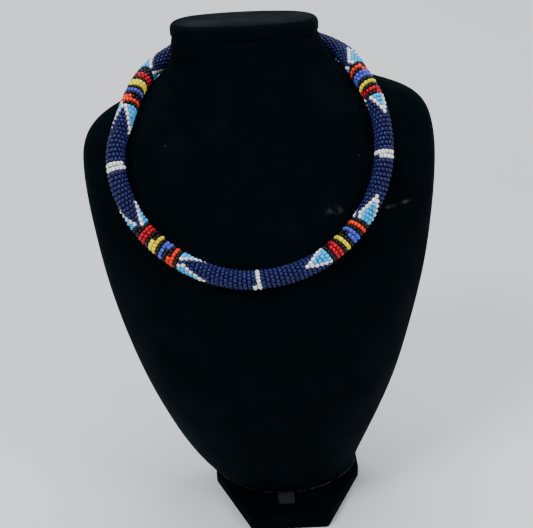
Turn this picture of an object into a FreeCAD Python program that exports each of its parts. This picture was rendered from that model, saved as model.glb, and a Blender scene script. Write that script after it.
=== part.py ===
import FreeCAD, Part
import math
import os

# Beaded rope collar on a velvet covered neck bust, in millimetres.
# The chest faces -Y, +Z is up, and the origin is the middle of the underside.

# Base plate: a wrapped board, narrow in front, then straight sides to the rear
PLATE_THICKNESS = 9.0
PLATE_FRONT_Y = -43.0
PLATE_REAR_Y = 34.0
PLATE_FRONT_HALF = 24.2
PLATE_WIDE_Y = 8.0
PLATE_WIDE_HALF = 48.0
PLATE_REAR_HALF = 47.5
PLATE_SHIFT = 9.0
PLATE_REAR_RADIUS = 9.0
PLATE_FRONT_RADIUS = 2.5
PLATE_EDGE_ROUND = 1.6

# Neck cap: an oval board closing the neck, a little wider than the neck
CAP_BOTTOM_Z = 297.2
CAP_TOP_Z = 305.2
CAP_SHIFT = -5.2
CAP_HALF_WIDTH = 42.2
CAP_FRONT_Y = 3.2
CAP_REAR_Y = 54.4
CAP_TOP_ROUND = 3.4
CAP_BOTTOM_ROUND = 1.6

# Beaded rope, a round cord covered with beads, and the clasp behind the neck
ROPE_DIAMETER = 10.8
RUN_SHARE = 0.45
CLASP_END_RADIUS = 4.8
CLASP_WAIST_RADIUS = 3.6
CLASP_COLLAR_LENGTH = 2.6
CLASP_COLLAR_ROUND = 0.5

# Route of the rope from the clasp round the right shoulder, over the chest and
# back round the left shoulder. It lies on the bust all the way. Columns: x, y, z.
ROPE_ROUTE = [
    (2.5, 60.0, 289.0),
    (22.5, 60.0, 289.0),
    (41.0, 48.5, 287.5),
    (52.5, 29.0, 283.0),
    (58.0, 9.5, 276.0),
    (66.0, -6.5, 264.0),
    (69.0, -19.0, 248.0),
    (67.0, -30.5, 229.5),
    (58.5, -37.0, 211.0),
    (45.0, -46.5, 198.0),
    (27.5, -55.0, 188.5),
    (7.5, -60.0, 184.0),
    (-14.0, -59.5, 183.0),
    (-34.0, -54.0, 187.0),
    (-52.0, -45.0, 194.5),
    (-67.0, -35.0, 206.5),
    (-76.0, -30.0, 225.0),
    (-79.0, -21.5, 244.0),
    (-73.5, -6.5, 259.5),
    (-68.0, 12.0, 271.5),
    (-62.5, 33.0, 277.0),
    (-53.0, 46.5, 284.0),
    (-32.5, 60.0, 289.0),
    (-12.5, 60.0, 289.0),
]

# Small blank tab that sticks out in front of the foot
TAB_WIDTH = 10.4
TAB_LENGTH = 10.0
TAB_THICKNESS = 1.2
TAB_SHIFT = 7.4
TAB_REAR_Y = -19.0

# Body of the bust as level sections. Columns: height, half width, y of the
# widest line, front y, back y, roundness of the sides, sideways shift.
BODY_SECTIONS = [
    (9.0, 47.5, 16.0, -17.5, 32.0, 0.90, 7.6),
    (20.0, 51.2, 13.0, -26.0, 32.0, 0.92, 5.0),
    (38.0, 59.2, 10.0, -37.0, 32.0, 0.94, 3.0),
    (60.0, 68.0, 7.0, -47.0, 32.0, 0.94, 2.2),
    (90.0, 78.4, 4.5, -56.0, 32.0, 0.94, 1.7),
    (125.0, 87.6, 3.0, -61.0, 32.0, 0.94, 1.0),
    (155.0, 94.0, 3.0, -61.0, 32.0, 0.94, 0.8),
    (182.0, 97.8, 3.0, -54.0, 32.5, 0.94, 0.6),
    (210.0, 100.2, 3.5, -39.0, 34.0, 0.94, 0.2),
    (232.0, 101.0, 6.5, -26.0, 36.0, 0.93, 0.0),
    (246.0, 99.4, 13.0, -18.5, 39.0, 0.90, 0.6),
    (256.0, 93.0, 20.0, -13.5, 43.0, 0.88, 3.2),
    (263.0, 81.2, 25.0, -9.5, 46.5, 0.86, 5.4),
    (269.0, 66.0, 27.5, -6.0, 49.5, 0.86, 2.4),
    (276.0, 52.8, 28.5, -2.5, 52.0, 0.86, -1.8),
    (285.0, 45.2, 28.8, 1.0, 53.6, 0.86, -3.4),
    (297.2, 41.4, 28.8, 3.8, 53.8, 0.86, -5.2),
]


def vec(x, y, z):
    return FreeCAD.Vector(x, y, z)


def oval_wire(z, half_width, wide_y, front_y, back_y, roundness, shift):
    """Closed oval of four tangent arcs: front, right, back and left."""
    deep_front = wide_y - front_y
    deep_back = back_y - wide_y
    side_r = roundness * min(deep_front, deep_back, half_width)
    reach = half_width - side_r

    def big_radius(deep):
        return (deep ** 2 + reach ** 2 - side_r ** 2) / (2.0 * (deep - side_r))

    front_c = front_y + big_radius(deep_front)
    back_c = back_y - big_radius(deep_back)

    def tangent_point(sign, centre_y):
        dx = sign * reach
        dy = wide_y - centre_y
        length = math.hypot(dx, dy)
        return vec(shift + dx + side_r * dx / length, wide_y + side_r * dy / length, z)

    front_left = tangent_point(-1, front_c)
    front_right = tangent_point(1, front_c)
    back_right = tangent_point(1, back_c)
    back_left = tangent_point(-1, back_c)
    arcs = [
        Part.Arc(front_left, vec(shift, front_y, z), front_right),
        Part.Arc(front_right, vec(shift + half_width, wide_y, z), back_right),
        Part.Arc(back_right, vec(shift, back_y, z), back_left),
        Part.Arc(back_left, vec(shift - half_width, wide_y, z), front_left),
    ]
    return Part.Wire([arc.toShape() for arc in arcs])


def make_bust_body():
    wires = [oval_wire(*row) for row in BODY_SECTIONS]
    return Part.makeLoft(wires, True, False)


def make_base_plate():
    """Board with a narrow front, slanted sides and rounded corners."""
    y_rear, y_front = PLATE_REAR_Y, PLATE_FRONT_Y
    corners = [
        vec(PLATE_SHIFT - PLATE_FRONT_HALF, y_front, 0),
        vec(PLATE_SHIFT + PLATE_FRONT_HALF, y_front, 0),
        vec(PLATE_SHIFT + PLATE_WIDE_HALF, PLATE_WIDE_Y, 0),
        vec(PLATE_SHIFT + PLATE_REAR_HALF, y_rear, 0),
        vec(PLATE_SHIFT - PLATE_REAR_HALF, y_rear, 0),
        vec(PLATE_SHIFT - PLATE_WIDE_HALF, PLATE_WIDE_Y, 0),
    ]
    board = Part.Face(Part.makePolygon(corners + corners[:1])).extrude(vec(0, 0, PLATE_THICKNESS))
    upright = [e for e in board.Edges if abs(e.BoundBox.ZLength - PLATE_THICKNESS) < 0.01]
    rear = [e for e in upright if e.BoundBox.YMax > y_front + 20.0]
    board = board.makeFillet(PLATE_REAR_RADIUS, rear)
    upright = [e for e in board.Edges if abs(e.BoundBox.ZLength - PLATE_THICKNESS) < 0.01]
    front = [e for e in upright if e.BoundBox.YMax < y_front + 1.0]
    board = board.makeFillet(PLATE_FRONT_RADIUS, front)
    rims = [e for e in board.Edges if e.BoundBox.ZLength < 0.01]
    return board.makeFillet(PLATE_EDGE_ROUND, rims)


def make_neck_cap():
    """Oval board with a soft upper rim."""
    wide_y = 0.5 * (CAP_FRONT_Y + CAP_REAR_Y)
    outline = oval_wire(CAP_BOTTOM_Z, CAP_HALF_WIDTH, wide_y, CAP_FRONT_Y, CAP_REAR_Y, 0.88, CAP_SHIFT)
    board = Part.Face(outline).extrude(vec(0, 0, CAP_TOP_Z - CAP_BOTTOM_Z))
    top = [e for e in board.Edges if e.BoundBox.ZMin > CAP_TOP_Z - 0.1]
    board = board.makeFillet(CAP_TOP_ROUND, top)
    bottom = [e for e in board.Edges if e.BoundBox.ZMax < CAP_BOTTOM_Z + 0.1]
    return board.makeFillet(CAP_BOTTOM_ROUND, bottom)


def make_foot_tab():
    """Thin blank tab lying on the plate, its back end against the foot."""
    corner = vec(TAB_SHIFT - TAB_WIDTH / 2, TAB_REAR_Y - TAB_LENGTH, PLATE_THICKNESS)
    tab = Part.makeBox(TAB_WIDTH, TAB_LENGTH, TAB_THICKNESS, corner)
    front = [e for e in tab.Edges
             if abs(e.BoundBox.ZLength - TAB_THICKNESS) < 0.01
             and e.BoundBox.YMax < TAB_REAR_Y - TAB_LENGTH + 0.1]
    return tab.makeFillet(TAB_WIDTH / 6, front)


def rope_path():
    """Straight runs joined by tangent arcs, and the radii of the arcs."""
    points = [vec(*row) for row in ROPE_ROUTE]
    edges = []
    radii = []
    start = points[0]
    for before, corner, after in zip(points, points[1:], points[2:]):
        back = before - corner
        ahead = after - corner
        shorter = min(back.Length, ahead.Length)
        cut = RUN_SHARE * shorter
        turn = math.pi - back.getAngle(ahead)
        radius = cut / math.tan(turn / 2)
        back.normalize()
        ahead.normalize()
        enter = corner + back * cut
        leave = corner + ahead * cut
        inward = back + ahead
        inward.normalize()
        middle = corner + inward * (radius / math.cos(turn / 2) - radius)
        edges.append(Part.LineSegment(start, enter).toShape())
        edges.append(Part.Arc(enter, middle, leave).toShape())
        radii.append(radius)
        start = leave
    edges.append(Part.LineSegment(start, points[-1]).toShape())
    return Part.Wire(edges), radii


def make_beaded_rope():
    path, radii = rope_path()
    first_run = vec(*ROPE_ROUTE[1]) - vec(*ROPE_ROUTE[0])
    circle = Part.makeCircle(ROPE_DIAMETER / 2, vec(*ROPE_ROUTE[0]), first_run)
    rope = path.makePipeShell([Part.Wire([circle])], True, False)
    print("rope length %.1f, smallest radius %.1f" % (path.Length, min(radii)))
    print("rope volume %.0f, section times length %.0f"
          % (rope.Volume, path.Length * math.pi * ROPE_DIAMETER ** 2 / 4))
    return rope


def make_clasp():
    """Plain barrel with a collar at each end, between the ends of the rope."""
    right = vec(*ROPE_ROUTE[0])
    left = vec(*ROPE_ROUTE[-1])
    axis = left - right
    length = axis.Length
    barrel = Part.makeCylinder(CLASP_WAIST_RADIUS, length, right, axis)
    collar_a = Part.makeCylinder(CLASP_END_RADIUS, CLASP_COLLAR_LENGTH, right, axis)
    collar_b = Part.makeCylinder(CLASP_END_RADIUS, CLASP_COLLAR_LENGTH, left, axis * -1)
    barrel = barrel.fuse([collar_a, collar_b]).removeSplitter()
    rims = [e for e in barrel.Edges
            if isinstance(e.Curve, Part.Circle) and abs(e.Curve.Radius - CLASP_END_RADIUS) < 0.01]
    return barrel.makeFillet(CLASP_COLLAR_ROUND, rims)


def main():
    os.makedirs("parts", exist_ok=True)
    makers = {
        "base_plate": make_base_plate,
        "bust_body": make_bust_body,
        "neck_cap": make_neck_cap,
        "foot_tab": make_foot_tab,
        "beaded_rope": make_beaded_rope,
        "clasp": make_clasp,
    }
    for name, make in makers.items():
        shape = make().Solids[0]
        print(name, shape.ShapeType, shape.isValid(), "%.0f mm3" % shape.Volume)
        shape.exportStep("parts/%s.step" % name)


if __name__ == "__main__":
    main()
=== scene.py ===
import math
import random

import bmesh
import bpy
from bpy.props import FloatProperty, FloatVectorProperty, IntProperty, PointerProperty
from mathutils import Matrix, Vector


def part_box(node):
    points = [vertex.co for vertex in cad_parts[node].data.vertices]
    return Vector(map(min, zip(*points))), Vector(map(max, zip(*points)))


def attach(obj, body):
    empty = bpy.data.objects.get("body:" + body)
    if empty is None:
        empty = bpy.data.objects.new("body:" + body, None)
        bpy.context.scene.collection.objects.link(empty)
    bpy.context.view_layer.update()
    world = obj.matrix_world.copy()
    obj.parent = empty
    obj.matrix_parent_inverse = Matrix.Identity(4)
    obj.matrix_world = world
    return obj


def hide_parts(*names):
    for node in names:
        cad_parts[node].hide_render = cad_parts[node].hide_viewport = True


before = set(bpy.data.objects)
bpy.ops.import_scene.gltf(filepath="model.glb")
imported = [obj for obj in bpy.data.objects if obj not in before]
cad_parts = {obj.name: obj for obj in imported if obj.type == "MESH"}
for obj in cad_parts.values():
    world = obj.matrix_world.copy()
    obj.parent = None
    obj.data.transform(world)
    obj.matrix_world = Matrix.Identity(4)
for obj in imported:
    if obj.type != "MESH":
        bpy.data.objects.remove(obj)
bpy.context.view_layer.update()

bl_info = {
    "name": "Beaded collar on a velvet bust",
    "version": (1, 0, 0),
    "blender": (4, 5, 0),
    "location": "3D View > Sidebar > Collar",
    "description": "Rope collar of glass seed beads on a velvet neck bust",
    "category": "Object",
}

MM = 0.001

# Points of the rope's route, from the right end of the clasp round the front to its left end
ROPE_ROUTE = (
    (0.0025, 0.0600, 0.2890),
    (0.0225, 0.0600, 0.2890),
    (0.0408, 0.0486, 0.2857),
    (0.0541, 0.0302, 0.2811),
    (0.0580, 0.0095, 0.2760),
    (0.0660, -0.0065, 0.2640),
    (0.0690, -0.0190, 0.2480),
    (0.0670, -0.0305, 0.2295),
    (0.0585, -0.0370, 0.2110),
    (0.0450, -0.0465, 0.1980),
    (0.0275, -0.0550, 0.1885),
    (0.0075, -0.0600, 0.1840),
    (-0.0140, -0.0595, 0.1830),
    (-0.0340, -0.0540, 0.1870),
    (-0.0520, -0.0450, 0.1945),
    (-0.0670, -0.0350, 0.2065),
    (-0.0760, -0.0300, 0.2250),
    (-0.0790, -0.0215, 0.2440),
    (-0.0735, -0.0065, 0.2595),
    (-0.0680, 0.0120, 0.2715),
    (-0.0622, 0.0330, 0.2767),
    (-0.0505, 0.0448, 0.2830),
    (-0.0325, 0.0590, 0.2890),
    (-0.0125, 0.0600, 0.2890),
)

# The middle line of the pattern faces this point all the way round
CHART_POINT = Vector((0.003, -0.519, 0.404))

# Arc length from the route's start to the white stripe at the front
FRONT_ARC = 0.2436

# Turn of the spiral lost in each round, in degrees: it lets the pattern drift slowly
DRIFT = 2.5

# Each band group: the arc and angle of the tips of the triangles before it, the beads in its bands
# from black to black, the arc and angle of the tips of the triangles after it, and their rows
BAND_COLOURS = ("black", "orange", "black", "blue", "black", "yellow", "black", "red", "black")
BAND_GROUPS = (
    (0.0629, 45.0, (18, 14, 11, 24, 11, 14, 11, 24, 9), 0.1145, 33.0, 5),
    (0.1620, 8.0, (10, 15, 15, 20, 17, 15, 15, 22, 12), 0.2172, -7.0, 6),
    (0.2720, 66.0, (14, 20, 15, 16, 18, 20, 18, 29, 14), 0.3310, 100.0, 6),
    (0.3740, -65.0, (9, 20, 18, 17, 17, 22, 20, 24, 16), 0.4370, 90.0, 6),
)
TRIANGLE_ROWS_BEFORE = 7
WIDEST_ROW = 6

# Beads from one triangle to its neighbour across the rope, and beads between triangles and bands
HALF_TURN = 7
BASE_GAP = 3

# Bare core left at each end of the rope, in rows
END_MARGIN = 0.6

# White stripes: arc and angle of the middle bead, and number of beads
WHITE_STRIPES = ((0.1386, -150.0, 20), (0.2441, -71.0, 20), (0.3529, -150.0, 21))

# Roughness of the glass where it shines most and where it is worn
BEAD_ROUGHNESS = (0.16, 0.30)

PATTERN_COLOURS = ("navy", "white", "sky", "black", "orange", "blue", "yellow", "red")
NAVY_PARTS = 4

# Small irregularities of the beads: angle round the rope in degrees, place in millimetres,
# tilt and lean in radians, smallest and largest size, and how much smaller the black beads are
ANGLE_SCATTER = 1.2
PLACE_SCATTER = 0.09
TILT_SCATTER = 0.09
LEAN_SCATTER = 0.07
SIZE_RANGE = (0.955, 1.02)
BLACK_SIZE = 0.92


class CollarSizes(bpy.types.PropertyGroup):
    bead_diameter: FloatProperty(
        name="Bead diameter", description="Across one seed bead", default=2.50 * MM, unit="LENGTH")
    bead_length: FloatProperty(
        name="Bead length", description="Along the hole of one seed bead", default=1.98 * MM,
        unit="LENGTH")
    bead_hole: FloatProperty(
        name="Bead hole", description="Diameter of the hole", default=0.85 * MM, unit="LENGTH")
    ring_radius: FloatProperty(
        name="Ring radius", description="From the rope's middle line to the beads' middles",
        default=4.2 * MM, unit="LENGTH")
    row_pitch: FloatProperty(
        name="Row pitch", description="Distance between two rounds along the rope",
        default=2.40 * MM, unit="LENGTH")
    beads_per_turn: FloatProperty(
        name="Beads per turn", description="Beads in one round of the spiral", default=13.5)
    core_radius: FloatProperty(
        name="Core radius", description="Radius of the thread core under the beads",
        default=3.3 * MM, unit="LENGTH")
    seam_radius: FloatProperty(
        name="Seam radius", description="Half the thickness of the seam line at the foot",
        default=0.36 * MM, unit="LENGTH")
    seed: IntProperty(name="Seed", description="Start value of the small irregularities", default=7)


def colour_property(name, description, default):
    return FloatVectorProperty(
        name=name, description=description, subtype="COLOR", size=3, min=0.0, max=1.0,
        default=default)


class CollarColours(bpy.types.PropertyGroup):
    navy: colour_property("Navy beads", "Ground colour of the rope", (0.0055, 0.0085, 0.076))
    white: colour_property("White beads", "Stripes and edges of the triangles", (0.93, 0.93, 0.90))
    sky: colour_property("Sky blue beads", "Fill of the triangles", (0.014, 0.43, 0.92))
    black: colour_property("Black beads", "Thin bands between the colours", (0.003, 0.003, 0.004))
    orange: colour_property("Orange beads", "Orange red bands", (0.95, 0.032, 0.0008))
    blue: colour_property("Blue beads", "Cornflower blue bands", (0.060, 0.088, 0.53))
    yellow: colour_property("Yellow beads", "Yellow bands", (0.97, 0.75, 0.0002))
    red: colour_property("Red beads", "Crimson bands", (0.43, 0.001, 0.012))
    thread: colour_property("Thread core", "Core of cord under the beads", (0.010, 0.011, 0.040))
    velvet: colour_property("Velvet", "Pile of the velvet", (0.0004, 0.0021, 0.0030))
    # Lighter velvet: the lighter patches that vary at random, and also the painted sheen patch on
    # the chest
    velvet_light_and_sheen: colour_property("Velvet, light", "Pile brushed up", (0.0011, 0.0042, 0.0064))
    lint: colour_property("Lint", "Dust and short fibres on the velvet", (0.05, 0.06, 0.065))
    # Painted highlight: the light colour of the rolled cloth rim at the foot
    seam: colour_property("Seam", "Glued edge of the cloth at the foot", (0.085, 0.100, 0.108))
    metal: colour_property("Clasp", "Metal of the clasp", (0.55, 0.54, 0.52))
    # The tab's grey is given near black: painted shade under the chest
    tab: colour_property("Tab", "Small blank tab at the foot", (0.010, 0.012, 0.014))
    backdrop: colour_property("Backdrop", "Floor and wall", (0.78, 0.795, 0.825))


# Materials

def new_material(name):
    """A material with its node tree, its shader and a coordinate node."""
    material = bpy.data.materials.new(name)
    material.use_nodes = True
    nodes = material.node_tree.nodes
    shader = nodes["Principled BSDF"]
    coordinates = nodes.new("ShaderNodeTexCoord")
    return material, nodes, material.node_tree.links, shader, coordinates.outputs["Object"]


def add_noise(nodes, links, place, scale, detail=3.0, roughness=0.5):
    noise = nodes.new("ShaderNodeTexNoise")
    noise.inputs["Scale"].default_value = scale
    noise.inputs["Detail"].default_value = detail
    noise.inputs["Roughness"].default_value = roughness
    links.new(place, noise.inputs["Vector"])
    return noise.outputs["Fac"]


def add_ramp(nodes, links, value, low, high, low_value=0.0, high_value=1.0):
    """Maps value from low..high to low_value..high_value."""
    ramp = nodes.new("ShaderNodeMapRange")
    ramp.inputs["From Min"].default_value = low
    ramp.inputs["From Max"].default_value = high
    ramp.inputs["To Min"].default_value = low_value
    ramp.inputs["To Max"].default_value = high_value
    links.new(value, ramp.inputs["Value"])
    return ramp.outputs["Result"]


def add_mix(nodes, links, factor, first, second):
    """Mixes two colours, given as tuples or sockets."""
    mix = nodes.new("ShaderNodeMix")
    mix.data_type = "RGBA"
    links.new(factor, mix.inputs["Factor"])
    for socket, colour in ((mix.inputs["A"], first), (mix.inputs["B"], second)):
        if isinstance(colour, bpy.types.NodeSocket):
            links.new(colour, socket)
        else:
            socket.default_value = (*colour, 1.0)
    return mix.outputs["Result"]


def add_math(nodes, links, operation, first, second):
    node = nodes.new("ShaderNodeMath")
    node.operation = operation
    for socket, value in zip(node.inputs, (first, second)):
        if isinstance(value, bpy.types.NodeSocket):
            links.new(value, socket)
        else:
            socket.default_value = value
    return node.outputs[0]


def add_bump(nodes, links, shader, height, distance, strength=1.0):
    bump = nodes.new("ShaderNodeBump")
    bump.inputs["Distance"].default_value = distance
    bump.inputs["Strength"].default_value = strength
    links.new(height, bump.inputs["Height"])
    links.new(bump.outputs["Normal"], shader.inputs["Normal"])


def add_spot(nodes, links, place, centre, radius, flatness=1.0):
    """One inside radius of a point, falling to zero at its edge; flatness narrows it in height."""
    stretch = nodes.new("ShaderNodeVectorMath")
    stretch.operation = "MULTIPLY"
    stretch.inputs[1].default_value = (1.0, 1.0, flatness)
    links.new(place, stretch.inputs[0])
    distance = nodes.new("ShaderNodeVectorMath")
    distance.operation = "DISTANCE"
    distance.inputs[1].default_value = (centre[0], centre[1], centre[2] * flatness)
    links.new(stretch.outputs["Vector"], distance.inputs[0])
    return add_ramp(nodes, links, distance.outputs["Value"], radius * 0.3, radius, 1.0, 0.0)


# Height of the seam's middle line above the foot of the bust
SEAM_HEIGHT = 0.35 * MM

# Smudges of lint on the bust: place, radius, flatness and strength; and a patch of painted sheen on
# the chest: place and radius
LINT_SPOTS = (
    ((0.0402, -0.0350, 0.2115), 0.0062, 2.2, 0.45),
    ((0.0715, -0.0270, 0.2092), 0.0042, 3.0, 0.50),
    ((0.0800, -0.0240, 0.2105), 0.0046, 3.0, 0.60),
)
SHEEN_SPOT = ((0.062, -0.038, 0.121), 0.022)


def velvet_material(name, colours, lightness=1.0, sheen=0.008, worn=1.7,
                    tint=(0.20, 0.80, 1.0), spots=()):
    """Short pile that catches light at its edges, with lighter patches at random, a little lint
    and, where spots are given, a patch of painted sheen in the base colour.

    sheen is the strength of the shader's sheen, worn its factor on the lighter patches and tint its
    colour; lightness scales both velvet colours.
    """
    material, nodes, links, shader, place = new_material(name)
    dark = tuple(c * lightness for c in colours.velvet)
    light = tuple(c * lightness for c in colours.velvet_light_and_sheen)
    patches = add_ramp(nodes, links, add_noise(nodes, links, place, 38.0, 5.0, 0.6), 0.42, 0.68)
    pile = add_noise(nodes, links, place, 1500.0, 2.0)
    grain = add_ramp(nodes, links, pile, 0.35, 0.75)
    shade = add_math(nodes, links, "MULTIPLY", patches, grain)
    if spots:
        # Painted sheen: a patch on the chest lightened towards the lighter velvet colour, standing
        # in for light caught by the pile
        painted_sheen = add_spot(nodes, links, place, *SHEEN_SPOT)
        shade = add_math(nodes, links, "MAXIMUM", shade,
                         add_math(nodes, links, "MULTIPLY", painted_sheen, grain))
    base = add_mix(nodes, links, shade, dark, light)
    flecks = add_ramp(nodes, links, add_noise(nodes, links, place, 420.0, 2.0, 0.7), 0.735, 0.79)
    sparse = add_ramp(nodes, links, add_noise(nodes, links, place, 24.0, 2.0), 0.52, 0.66)
    lint = add_math(nodes, links, "MULTIPLY", flecks, sparse)
    for centre, radius, flatness, strength in spots:
        fibre = add_ramp(nodes, links, add_noise(nodes, links, place, 260.0, 4.0, 0.7), 0.42, 0.62)
        spot = add_spot(nodes, links, place, centre, radius, flatness)
        smudge = add_math(nodes, links, "MULTIPLY", fibre, spot)
        lint = add_math(nodes, links, "MAXIMUM", lint,
                        add_math(nodes, links, "MULTIPLY", smudge, strength))
    base = add_mix(nodes, links, lint, base, tuple(colours.lint))
    links.new(base, shader.inputs["Base Color"])
    links.new(add_ramp(nodes, links, patches, 0.0, 1.0, 0.95, 0.85), shader.inputs["Roughness"])
    shader.inputs["Specular IOR Level"].default_value = 0.02
    links.new(add_ramp(nodes, links, patches, 0.0, 1.0, sheen * 0.5, sheen * worn),
              shader.inputs["Sheen Weight"])
    shader.inputs["Sheen Roughness"].default_value = 0.35
    shader.inputs["Sheen Tint"].default_value = (*tint, 1.0)
    add_bump(nodes, links, shader, pile, 0.15 * MM, 0.6)
    return material


def bead_material(name, colour):
    """Opaque glass: each bead a little lighter or darker, with worn spots on its gloss."""
    material, nodes, links, shader, place = new_material(name)
    tone = nodes.new("ShaderNodeAttribute")
    tone.attribute_name = "tone"
    dark = tuple(c * 0.72 for c in colour)
    light = tuple(min(1.0, c * 1.22 + 0.004) for c in colour)
    base = add_mix(nodes, links, tone.outputs["Fac"], dark, light)
    cloud = add_ramp(nodes, links, add_noise(nodes, links, place, 900.0, 2.0), 0.4, 0.7, 0.0, 0.35)
    base = add_mix(nodes, links, cloud, base, tuple(c * 0.8 for c in colour))
    links.new(base, shader.inputs["Base Color"])
    wear = add_noise(nodes, links, place, 520.0, 3.0)
    links.new(add_ramp(nodes, links, wear, 0.3, 0.7, *BEAD_ROUGHNESS), shader.inputs["Roughness"])
    shader.inputs["IOR"].default_value = 1.51
    shader.inputs["Specular IOR Level"].default_value = 0.24
    add_bump(nodes, links, shader, wear, 0.02 * MM, 0.4)
    return material


def thread_material(colours):
    """Twisted cord core, seen only in the gaps between beads."""
    material, nodes, links, shader, place = new_material("thread core")
    fibre = add_noise(nodes, links, place, 1400.0, 4.0, 0.7)
    base = add_mix(nodes, links, add_ramp(nodes, links, fibre, 0.3, 0.7),
                   tuple(c * 0.5 for c in colours.thread), tuple(colours.thread))
    links.new(base, shader.inputs["Base Color"])
    links.new(add_ramp(nodes, links, fibre, 0.3, 0.7, 0.8, 0.95), shader.inputs["Roughness"])
    add_bump(nodes, links, shader, fibre, 0.1 * MM)
    return material


def metal_material(colours):
    """Brushed clasp metal with fine turning lines and dull smears."""
    material, nodes, links, shader, place = new_material("clasp metal")
    stretch = nodes.new("ShaderNodeMapping")
    stretch.inputs["Scale"].default_value = (12.0, 1.0, 1.0)
    links.new(place, stretch.inputs["Vector"])
    lines = add_noise(nodes, links, stretch.outputs["Vector"], 300.0, 3.0)
    smears = add_noise(nodes, links, place, 180.0, 3.0)
    base = add_mix(nodes, links, add_ramp(nodes, links, smears, 0.4, 0.7),
                   tuple(colours.metal), tuple(c * 0.7 for c in colours.metal))
    links.new(base, shader.inputs["Base Color"])
    links.new(add_ramp(nodes, links, lines, 0.3, 0.7, 0.25, 0.42), shader.inputs["Roughness"])
    shader.inputs["Metallic"].default_value = 1.0
    add_bump(nodes, links, shader, lines, 0.03 * MM, 0.5)
    return material


def painted_shade_tab_material(colours):
    """Worn grey card or plastic, its colour given near black: painted shade under the chest."""
    material, nodes, links, shader, place = new_material("grey tab")
    scuff = add_noise(nodes, links, place, 420.0, 4.0, 0.7)
    base = add_mix(nodes, links, add_ramp(nodes, links, scuff, 0.35, 0.7),
                   tuple(colours.tab), tuple(c * 1.6 for c in colours.tab))
    links.new(base, shader.inputs["Base Color"])
    links.new(add_ramp(nodes, links, scuff, 0.3, 0.7, 0.45, 0.65), shader.inputs["Roughness"])
    add_bump(nodes, links, shader, scuff, 0.05 * MM, 0.4)
    return material


def seam_highlight_material(colours):
    """Rolled edge of the cloth at the foot, with short fibres; its light colour is a painted
    highlight of the rim catching light.
    """
    material, nodes, links, shader, place = new_material("foot seam")
    fibre = add_noise(nodes, links, place, 360.0, 3.0, 0.7)
    base = add_mix(nodes, links, add_ramp(nodes, links, fibre, 0.46, 0.66),
                   tuple(c * 0.06 for c in colours.seam), tuple(colours.seam))
    links.new(base, shader.inputs["Base Color"])
    links.new(add_ramp(nodes, links, fibre, 0.3, 0.7, 0.8, 0.95), shader.inputs["Roughness"])
    shader.inputs["Specular IOR Level"].default_value = 0.1
    add_bump(nodes, links, shader, fibre, 0.1 * MM, 0.6)
    return material


def backdrop_material(colours):
    """Matt pale surface with a faint mottle."""
    material, nodes, links, shader, place = new_material("pale backdrop")
    mottle = add_noise(nodes, links, place, 3.0, 3.0)
    base = add_mix(nodes, links, mottle, tuple(c * 0.97 for c in colours.backdrop),
                   tuple(c * 1.03 for c in colours.backdrop))
    links.new(base, shader.inputs["Base Color"])
    shader.inputs["Roughness"].default_value = 0.8
    shader.inputs["Specular IOR Level"].default_value = 0.2
    return material


# Helpers for meshes and pieces

def link_object(name, data):
    piece = bpy.data.objects.new(name, data)
    bpy.context.scene.collection.objects.link(piece)
    return piece


def finish_piece(piece, material, replaced=()):
    """Gives a piece its material and the body that it rides on."""
    piece.data.materials.clear()
    piece.data.materials.append(material)
    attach(piece, "root")
    if replaced:
        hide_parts(*replaced)
    return piece


def dress_node(node, material):
    """Assigns a material to every slot of a CAD node."""
    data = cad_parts[node].data
    if not data.materials:
        data.materials.append(material)
    for index in range(len(data.materials)):
        data.materials[index] = material


def route_curve(name):
    """The rope's route as one smooth spline."""
    curve = bpy.data.curves.new(name, "CURVE")
    curve.dimensions = "3D"
    curve.resolution_u = 24
    spline = curve.splines.new("NURBS")
    spline.points.add(len(ROPE_ROUTE) - 1)
    for point, place in zip(spline.points, ROPE_ROUTE):
        point.co = (*place, 1.0)
    spline.order_u = 3
    spline.use_endpoint_u = True
    return curve


def mesh_from_curve(curve):
    """A mesh of the curve, and the curve removed."""
    holder = link_object("holder", curve)
    bpy.context.view_layer.update()
    mesh = bpy.data.meshes.new_from_object(holder.evaluated_get(
        bpy.context.evaluated_depsgraph_get()))
    bpy.data.objects.remove(holder)
    bpy.data.curves.remove(curve)
    return mesh


def across(vector, ahead):
    """The unit part of vector that is square to ahead."""
    return (vector - vector.dot(ahead) * ahead).normalized()


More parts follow.
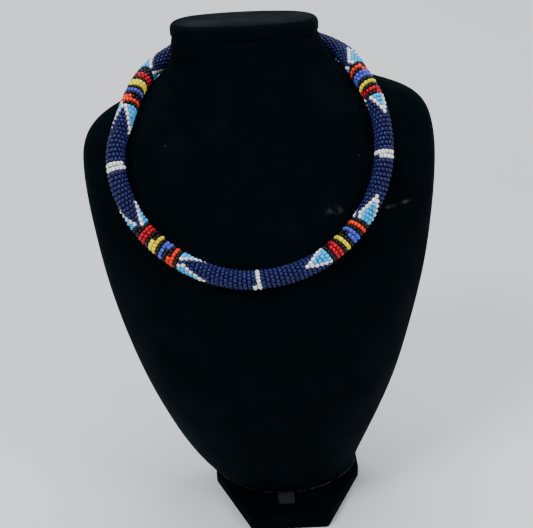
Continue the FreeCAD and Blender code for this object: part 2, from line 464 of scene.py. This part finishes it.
class RopePath:
    """Points of the route by arc length, and the frame of the rope at each."""

    def __init__(self):
        mesh = mesh_from_curve(route_curve("route"))
        self.points = [v.co.copy() for v in mesh.vertices]
        bpy.data.meshes.remove(mesh)
        self.arcs = [0.0]
        for first, second in zip(self.points, self.points[1:]):
            self.arcs.append(self.arcs[-1] + (second - first).length)
        self.length = self.arcs[-1]
        last = len(self.points) - 1
        self.ahead = [(self.points[min(i + 1, last)] - self.points[max(i - 1, 0)]).normalized()
                      for i in range(last + 1)]
        front = self.index_at(FRONT_ARC)
        self.sides = [None] * (last + 1)
        self.sides[front] = across(CHART_POINT - self.points[front], self.ahead[front])
        for i in range(front + 1, last + 1):
            self.sides[i] = across(self.sides[i - 1], self.ahead[i])
        for i in range(front - 1, -1, -1):
            self.sides[i] = across(self.sides[i + 1], self.ahead[i])

    def index_at(self, arc):
        """The last point at or before an arc length."""
        low, high = 0, len(self.arcs) - 1
        while high - low > 1:
            middle = (low + high) // 2
            if self.arcs[middle] <= arc:
                low = middle
            else:
                high = middle
        return low

    def at(self, arc):
        """Place, direction, untwisted side and the side square to both."""
        low = self.index_at(arc)
        share = (arc - self.arcs[low]) / (self.arcs[low + 1] - self.arcs[low])
        place = self.points[low].lerp(self.points[low + 1], share)
        ahead = self.ahead[low].lerp(self.ahead[low + 1], share).normalized()
        side = across(self.sides[low].lerp(self.sides[low + 1], share), ahead)
        return place, ahead, side, side.cross(ahead)

    def facing_angle(self, arc):
        """Degrees from the untwisted side to the one that faces the chart point."""
        place, ahead, side, outer = self.at(arc)
        facing = across(CHART_POINT - place, ahead)
        return math.degrees(math.atan2(facing.dot(outer), facing.dot(side)))


# The pattern of the beads

class BeadSpiral:
    """The string of beads wound round the rope: where each bead sits, and its colour."""

    def __init__(self, path, sizes):
        self.path = path
        self.turn = sizes.beads_per_turn
        self.pitch = sizes.row_pitch
        self.start = END_MARGIN * sizes.row_pitch
        self.count = int((path.length - 2.0 * self.start) / self.pitch * self.turn)
        self.colours = self.chart()

    def arc(self, index):
        return self.start + index * self.pitch / self.turn

    def angle(self, index):
        """Degrees round the rope from its untwisted side, positive to the outer side."""
        return -(index * (360.0 - DRIFT) / self.turn) % 360.0

    def bead_at(self, arc, angle):
        """The bead nearest to an arc length and an angle from the side that is seen."""
        middle = round((arc - self.start) / self.pitch * self.turn)
        wanted = angle + self.path.facing_angle(arc)
        near = range(middle - HALF_TURN, middle + HALF_TURN + 1)
        return min(near, key=lambda i: abs((self.angle(i) - wanted + 180.0) % 360.0 - 180.0))

    def triangle(self, colours, tip, rows, sign):
        """A triangle with white edges and a sky blue field; sign points from tip to base."""
        for row in range(rows):
            width = min(row + 1, WIDEST_ROW)
            middle = tip + sign * round(row * self.turn + 0.01)
            first = middle - width // 2 if sign > 0 else middle - (width - 1) // 2
            for number in range(width):
                index = first + number
                edge = number in (0, width - 1)
                if 0 <= index < self.count:
                    colours[index] = "white" if edge else "sky"

    def chart(self):
        """Colour names of all beads, from the white stripes and the four groups of bands."""
        colours = ["navy"] * self.count
        for arc, angle, beads in WHITE_STRIPES:
            middle = self.bead_at(arc, angle)
            for index in range(middle - beads // 2, middle + beads - beads // 2):
                colours[index] = "white"
        for tip_arc, tip_angle, bands, end_arc, end_angle, rows_after in BAND_GROUPS:
            tip = self.bead_at(tip_arc, tip_angle)
            for offset in (0, HALF_TURN):
                self.triangle(colours, tip + offset, TRIANGLE_ROWS_BEFORE, 1)
            index = tip + round((TRIANGLE_ROWS_BEFORE - 1) * self.turn) + HALF_TURN + BASE_GAP
            end_tip = self.bead_at(end_arc, end_angle)
            base = end_tip - round((rows_after - 1) * self.turn) - HALF_TURN - BASE_GAP
            for colour, beads in zip(BAND_COLOURS, bands):
                colours[index:index + beads] = [colour] * beads
                index += beads
            while index < base:
                colours[index] = "black"
                index += 1
            for offset in (0, HALF_TURN):
                self.triangle(colours, end_tip - offset, rows_after, -1)
        return colours[:self.count]


def bead_template(sizes):
    """One seed bead with its hole along Z, turned from its rounded section."""
    half = sizes.bead_length / 2.0
    outer = sizes.bead_diameter / 2.0
    hole = sizes.bead_hole / 2.0
    section = (
        (hole, -half * 0.72),
        ((hole + outer) * 0.47, -half),
        (outer * 0.86, -half * 0.70),
        (outer, 0.0),
        (outer * 0.86, half * 0.70),
        ((hole + outer) * 0.47, half),
        (hole, half * 0.72),
    )
    bm = bmesh.new()
    verts = [bm.verts.new((x, 0.0, z)) for x, z in section]
    edges = [bm.edges.new(pair) for pair in zip(verts, verts[1:] + verts[:1])]
    bmesh.ops.spin(bm, geom=verts + edges, cent=(0, 0, 0), axis=(0, 0, 1), dvec=(0, 0, 0),
                   angle=2.0 * math.pi, steps=10, use_merge=True, use_duplicate=False)
    bmesh.ops.remove_doubles(bm, verts=bm.verts[:], dist=1e-6)
    bmesh.ops.recalc_face_normals(bm, faces=bm.faces[:])
    for face in bm.faces:
        face.smooth = True
    mesh = bpy.data.meshes.new("bead")
    bm.to_mesh(mesh)
    bm.free()
    return mesh


def beads_mesh(name, template, places):
    """All the beads at the given places joined in one mesh, each with its own tone."""
    bm = bmesh.new()
    for matrix, _ in places:
        copy = template.copy()
        copy.transform(matrix)
        bm.from_mesh(copy)
        bpy.data.meshes.remove(copy)
    mesh = bpy.data.meshes.new(name)
    bm.to_mesh(mesh)
    bm.free()
    tone = mesh.attributes.new("tone", "FLOAT", "POINT")
    each = len(template.vertices)
    tone.data.foreach_set("value", [t for _, t in places for _ in range(each)])
    mesh.shade_smooth()
    return mesh


class COLLAR_OT_velvet(bpy.types.Operator):
    """Velvet on the bust, the neck cap and the base plate"""
    bl_idname = "collar.velvet"
    bl_label = "Velvet"

    def execute(self, context):
        colours = context.scene.collar_colours
        dress_node("bust_body", velvet_material("velvet of the bust", colours, spots=LINT_SPOTS))
        # The cap is a lighter copy of the velvet (lightness 1.1): painted light on its lit top
        dress_node("neck_cap", velvet_material(
            "velvet of the cap", colours, 1.1, 0.018, 3.2, (0.70, 0.82, 0.88)))
        # The base is a darker copy of the velvet (lightness 0.9): painted shade
        dress_node("base_plate", velvet_material("velvet of the base", colours, 0.9, 0.006))
        return {"FINISHED"}


class COLLAR_OT_foot(bpy.types.Operator):
    """Seam line round the foot, its light colour a painted highlight, and the grey tab in front of
    it, its dark colour painted shade
    """
    bl_idname = "collar.foot"
    bl_label = "Foot seam and tab"

    def execute(self, context):
        colours = context.scene.collar_colours
        sizes = context.scene.collar_sizes
        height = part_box("bust_body")[0][2] + SEAM_HEIGHT
        bm = bmesh.new()
        bm.from_mesh(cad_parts["bust_body"].data)
        bmesh.ops.remove_doubles(bm, verts=bm.verts[:], dist=1e-5)
        cut = bmesh.ops.bisect_plane(
            bm, geom=bm.verts[:] + bm.edges[:] + bm.faces[:], plane_co=(0, 0, height),
            plane_no=(0, 0, 1), clear_inner=True, clear_outer=True)
        loop_edges = [e for e in cut["geom_cut"] if isinstance(e, bmesh.types.BMEdge)]
        if not loop_edges:
            raise RuntimeError("the foot of the bust gave no seam line")
        walk = [loop_edges[0].verts[0]]
        edge = loop_edges[0]
        while True:
            following = edge.other_vert(walk[-1])
            if following == walk[0]:
                break
            walk.append(following)
            edge = next(e for e in following.link_edges if e != edge)
        curve = bpy.data.curves.new("seam", "CURVE")
        curve.dimensions = "3D"
        curve.bevel_depth = sizes.seam_radius
        curve.bevel_resolution = 2
        spline = curve.splines.new("POLY")
        spline.points.add(len(walk) - 1)
        for point, vert in zip(spline.points, walk):
            point.co = (*vert.co, 1.0)
        spline.use_cyclic_u = True
        bm.free()
        mesh = mesh_from_curve(curve)
        mesh.shade_smooth()
        finish_piece(link_object("foot_seam", mesh), seam_highlight_material(colours))
        dress_node("foot_tab", painted_shade_tab_material(colours))
        return {"FINISHED"}


class COLLAR_OT_core(bpy.types.Operator):
    """Cord core of the rope and its clasp"""
    bl_idname = "collar.core"
    bl_label = "Core and clasp"

    def execute(self, context):
        colours = context.scene.collar_colours
        curve = route_curve("rope core")
        curve.bevel_depth = context.scene.collar_sizes.core_radius
        curve.bevel_resolution = 4
        curve.use_fill_caps = True
        curve.resolution_u = 8
        mesh = mesh_from_curve(curve)
        bm = bmesh.new()
        bm.from_mesh(mesh)
        bmesh.ops.remove_doubles(bm, verts=bm.verts[:], dist=1e-6)
        bmesh.ops.recalc_face_normals(bm, faces=bm.faces[:])
        bm.to_mesh(mesh)
        bm.free()
        mesh.shade_smooth()
        core = link_object("rope_core", mesh)
        finish_piece(core, thread_material(colours), ("beaded_rope",))
        dress_node("clasp", metal_material(colours))
        return {"FINISHED"}


class COLLAR_OT_beads(bpy.types.Operator):
    """All the seed beads of the rope, one mesh for each colour"""
    bl_idname = "collar.beads"
    bl_label = "Seed beads"

    def execute(self, context):
        sizes = context.scene.collar_sizes
        colours = context.scene.collar_colours
        path = RopePath()
        spiral = BeadSpiral(path, sizes)
        template = bead_template(sizes)
        generator = random.Random(sizes.seed)
        stretches = {}
        for index, colour in enumerate(spiral.colours):
            place, ahead, side, outer = path.at(spiral.arc(index))
            scatter = generator.uniform(-ANGLE_SCATTER, ANGLE_SCATTER)
            angle = math.radians(spiral.angle(index) + scatter)
            away = side * math.cos(angle) + outer * math.sin(angle)
            round_way = ahead.cross(away)
            shift = generator.uniform(-PLACE_SCATTER, PLACE_SCATTER) * MM
            centre = place + away * (sizes.ring_radius + shift) + ahead * shift
            rotation = Matrix((away, ahead, round_way)).transposed().to_4x4()
            tilt = Matrix.Rotation(generator.uniform(-TILT_SCATTER, TILT_SCATTER), 4, "X")
            lean = Matrix.Rotation(generator.uniform(-LEAN_SCATTER, LEAN_SCATTER), 4, "Y")
            scale = generator.uniform(*SIZE_RANGE) * (BLACK_SIZE if colour == "black" else 1.0)
            matrix = Matrix.Translation(centre) @ rotation @ tilt @ lean @ Matrix.Scale(scale, 4)
            part = ""
            if colour == "navy":
                part = "_%d" % (1 + NAVY_PARTS * index // spiral.count)
            stretches.setdefault((colour, part), []).append((matrix, generator.random()))
        materials = {c: bead_material(c + " glass", tuple(getattr(colours, c)))
                     for c in PATTERN_COLOURS}
        for (colour, part), places in stretches.items():
            name = "beads_" + colour + part
            piece = link_object(name, beads_mesh(name, template, places))
            finish_piece(piece, materials[colour], ("beaded_rope",))
        bpy.data.meshes.remove(template)
        return {"FINISHED"}


# The sweep's section: front edge, start of the bend, radius of the bend, top and half width
SWEEP_FRONT, SWEEP_BEND, SWEEP_RADIUS, SWEEP_TOP, SWEEP_HALF = -1.6, 0.55, 0.35, 2.4, 2.6
SWEEP_STEPS = 12

# Lamps: name, place, diameter and power; all point at the middle of the bust
LAMPS = (
    ("key", (-0.75, -0.85, 1.35), 0.5, 17.0),
    ("fill", (0.95, -0.75, 0.95), 0.6, 8.0),
    ("top", (0.05, 0.10, 1.7), 0.8, 13.0),
)
LAMP_AIM = Vector((0.0, 0.0, 0.17))
WORLD_COLOUR = (0.93, 0.95, 1.0, 1.0)
WORLD_STRENGTH = 0.50

# The photograph's viewpoint: place, then yaw, downward pitch and roll in degrees, and lens in mm
CAMERA_PLACE = (0.003136, -0.51880, 0.403768)
CAMERA_ANGLES = (-0.19124, 24.7123, -2.65742)
CAMERA_LENS = 64.355
SENSOR_WIDTH = 36.0


class COLLAR_OT_stage(bpy.types.Operator):
    """Pale sweep, soft lights and the camera"""
    bl_idname = "collar.stage"
    bl_label = "Stage"

    def execute(self, context):
        colours = context.scene.collar_colours
        bm = bmesh.new()
        profile = [(SWEEP_FRONT, 0.0), (SWEEP_BEND, 0.0)]
        for step in range(1, SWEEP_STEPS + 1):
            turn = math.radians(90.0 * step / SWEEP_STEPS)
            profile.append((SWEEP_BEND + SWEEP_RADIUS * math.sin(turn),
                            SWEEP_RADIUS * (1.0 - math.cos(turn))))
        profile.append((SWEEP_BEND + SWEEP_RADIUS, SWEEP_TOP))
        section = [bm.verts.new((-SWEEP_HALF, y, z)) for y, z in profile]
        edges = [bm.edges.new(pair) for pair in zip(section, section[1:])]
        wide = bmesh.ops.extrude_edge_only(bm, edges=edges)["geom"]
        bmesh.ops.translate(bm, vec=(2.0 * SWEEP_HALF, 0.0, 0.0),
                            verts=[v for v in wide if isinstance(v, bmesh.types.BMVert)])
        mesh = bpy.data.meshes.new("sweep")
        bm.to_mesh(mesh)
        bm.free()
        mesh.shade_smooth()
        sweep = link_object("sweep", mesh)
        mesh.materials.append(backdrop_material(colours))
        for name, place, size, power in LAMPS:
            lamp = bpy.data.lights.new(name, "AREA")
            lamp.shape = "DISK"
            lamp.size = size
            lamp.energy = power
            holder = link_object(name, lamp)
            holder.location = place
            aim = LAMP_AIM - Vector(place)
            holder.rotation_euler = aim.to_track_quat("-Z", "Y").to_euler()
        world = bpy.data.worlds.new("soft room")
        world.use_nodes = True
        background = world.node_tree.nodes["Background"]
        background.inputs["Color"].default_value = WORLD_COLOUR
        background.inputs["Strength"].default_value = WORLD_STRENGTH
        context.scene.world = world
        self.add_camera(context)
        return {"FINISHED"}

    def add_camera(self, context):
        """Camera at the photograph's viewing angle."""
        yaw, pitch, roll = (math.radians(a) for a in CAMERA_ANGLES)
        forward = Vector((math.sin(yaw) * math.cos(pitch), math.cos(yaw) * math.cos(pitch),
                          -math.sin(pitch)))
        level = Vector((math.cos(yaw), -math.sin(yaw), 0.0))
        upright = level.cross(forward)
        right = level * math.cos(roll) + upright * math.sin(roll)
        up = upright * math.cos(roll) - level * math.sin(roll)
        data = bpy.data.cameras.new("camera")
        data.sensor_fit = "HORIZONTAL"
        data.sensor_width = SENSOR_WIDTH
        data.lens = CAMERA_LENS
        data.clip_start = 0.01
        camera = link_object("camera", data)
        camera.location = CAMERA_PLACE
        camera.rotation_euler = Matrix((right, up, -forward)).transposed().to_euler()
        context.scene.camera = camera


OPERATORS = (COLLAR_OT_stage, COLLAR_OT_velvet, COLLAR_OT_foot, COLLAR_OT_core, COLLAR_OT_beads)


class VIEW3D_PT_collar(bpy.types.Panel):
    """Buttons for each group of pieces, and their sizes and colours"""
    bl_label = "Beaded collar"
    bl_space_type = "VIEW_3D"
    bl_region_type = "UI"
    bl_category = "Collar"

    def draw(self, context):
        column = self.layout.column(align=True)
        for operator in OPERATORS:
            column.operator(operator.bl_idname)
        for group in (context.scene.collar_sizes, context.scene.collar_colours):
            box = self.layout.column(align=True)
            for name in group.__annotations__:
                box.prop(group, name)


CLASSES = (CollarSizes, CollarColours, *OPERATORS, VIEW3D_PT_collar)


def register():
    for entry in CLASSES:
        bpy.utils.register_class(entry)
    bpy.types.Scene.collar_sizes = PointerProperty(type=CollarSizes)
    bpy.types.Scene.collar_colours = PointerProperty(type=CollarColours)


def unregister():
    del bpy.types.Scene.collar_colours
    del bpy.types.Scene.collar_sizes
    for entry in reversed(CLASSES):
        bpy.utils.unregister_class(entry)


def main():
    register()
    bpy.ops.collar.stage()
    bpy.ops.collar.velvet()
    bpy.ops.collar.foot()
    bpy.ops.collar.core()
    bpy.ops.collar.beads()


if __name__ == "__main__":
    main()
